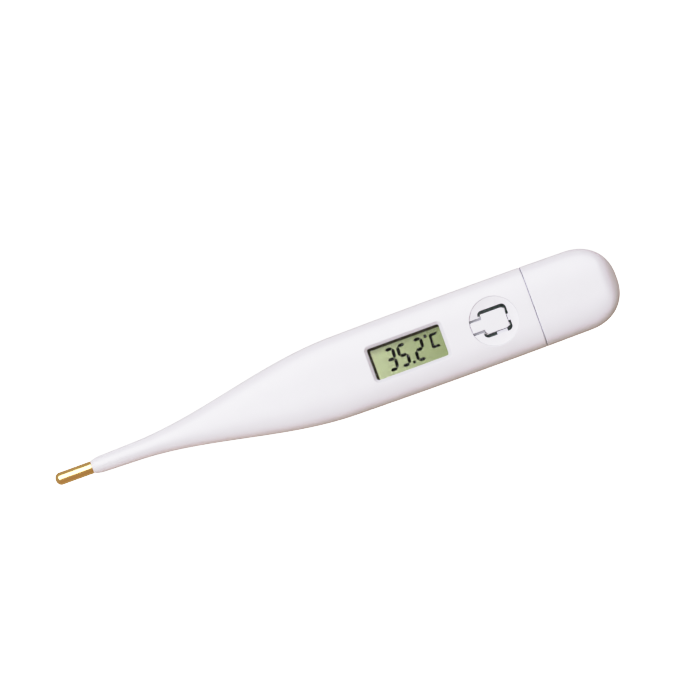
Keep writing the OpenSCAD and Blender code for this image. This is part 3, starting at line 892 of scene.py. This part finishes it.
def build_world():
    """White to the camera; to the object, a dim room that is brighter on the +Y side."""
    world = bpy.data.worlds.new("studio")
    bpy.context.scene.world = world
    world.use_nodes = True
    tree = world.node_tree
    tree.nodes.clear()
    output = tree.nodes.new("ShaderNodeOutputWorld")
    coordinates = tree.nodes.new("ShaderNodeTexCoord")
    aim = tree.nodes.new("ShaderNodeVectorMath")
    aim.operation = "DOT_PRODUCT"
    aim.inputs[1].default_value = (-0.35, 0.88, 0.3)
    spread = tree.nodes.new("ShaderNodeMapRange")
    spread.inputs["From Min"].default_value = -0.8
    spread.inputs["From Max"].default_value = 0.8
    tint = tree.nodes.new("ShaderNodeMix")
    tint.data_type = "RGBA"
    tint.inputs[7].default_value = (0.52, 0.49, 0.48, 1)
    low = tree.nodes.new("ShaderNodeMix")
    low.data_type = "RGBA"
    low.inputs[6].default_value = (0.25, 0.165, 0.07, 1)
    low.inputs[7].default_value = (0.5, 0.34, 0.23, 1)
    room = tree.nodes.new("ShaderNodeBackground")
    white = tree.nodes.new("ShaderNodeBackground")
    path = tree.nodes.new("ShaderNodeLightPath")
    both = tree.nodes.new("ShaderNodeMixShader")
    white.inputs["Color"].default_value = (*BACKDROP, 1)
    links = tree.links
    links.new(coordinates.outputs["Generated"], aim.inputs[0])
    links.new(aim.outputs["Value"], spread.inputs["Value"])
    links.new(spread.outputs["Result"], tint.inputs[0])
    links.new(path.outputs["Is Glossy Ray"], low.inputs[0])
    links.new(low.outputs[2], tint.inputs[6])
    links.new(tint.outputs[2], room.inputs["Color"])
    links.new(path.outputs["Is Camera Ray"], both.inputs[0])
    links.new(room.outputs[0], both.inputs[1])
    links.new(white.outputs[0], both.inputs[2])
    links.new(both.outputs[0], output.inputs["Surface"])


def build_softbox(name, towards, energy, glossy):
    """A broad soft light that adds either the shading or the highlights."""
    light = bpy.data.lights.new(name, "AREA")
    light.shape = "RECTANGLE"
    light.size = 0.95
    light.size_y = 0.7
    light.energy = energy
    light.color = (0.985, 0.985, 1.06)
    obj = bpy.data.objects.new(name, light)
    bpy.context.scene.collection.objects.link(obj)
    towards = Vector(towards).normalized()
    obj.location = towards * 0.65
    obj.rotation_mode = "QUATERNION"
    obj.rotation_quaternion = towards.to_track_quat("Z", "Y")
    obj.visible_glossy = glossy
    obj.visible_diffuse = not glossy


def build_camera():
    """Looks down on the object almost squarely, with the tail turned up to the right."""
    turn = math.radians(20)
    lift = math.radians(89.3)
    distance = 814.6
    right = Vector((math.cos(turn), -math.sin(turn), 0))
    away = Vector((math.sin(turn), math.cos(turn), 0))
    back = (-away * math.cos(lift) + Vector((0, 0, 1)) * math.sin(lift)).normalized()
    up = back.cross(right)
    target = Vector((0, 0.1 * MM, ORIGIN.z)) + right * 2.93 * MM + away * 5.87 * MM
    data = bpy.data.cameras.new("camera")
    data.lens = 200
    data.sensor_width = 36
    camera = bpy.data.objects.new("camera", data)
    bpy.context.scene.collection.objects.link(camera)
    facing = Matrix((right, up, back)).transposed().to_4x4()
    camera.matrix_world = Matrix.Translation(target + back * distance * MM) @ facing
    data.clip_start, data.clip_end = 0.01, 10
    bpy.context.scene.camera = camera


def set_tone():
    """A soft shoulder, so that the lit plastic stays an even white below the backdrop's."""
    settings = bpy.context.scene.view_settings
    settings.view_transform = "Standard"
    settings.use_curve_mapping = True
    curves = settings.curve_mapping
    limit = 2.5
    curves.white_level = (limit, limit, limit)
    shoulder = curves.curves[3]
    shoulder.points[1].location = (1, 1)
    for light, shown in ((0.25, 0.25), (0.5, 0.5), (0.7, 0.715), (0.85, 0.8), (1.0, 0.86), (1.3, 0.93)):
        shoulder.points.new(light / limit, shown)
    curves.update()


build_floor()
build_world()
build_softbox("key", (-0.30, 0.20, 0.95), 4.65, glossy=False)
build_softbox("sheen", (-0.12, 0.40, 0.90), 11.0, glossy=True)
build_camera()
set_tone()
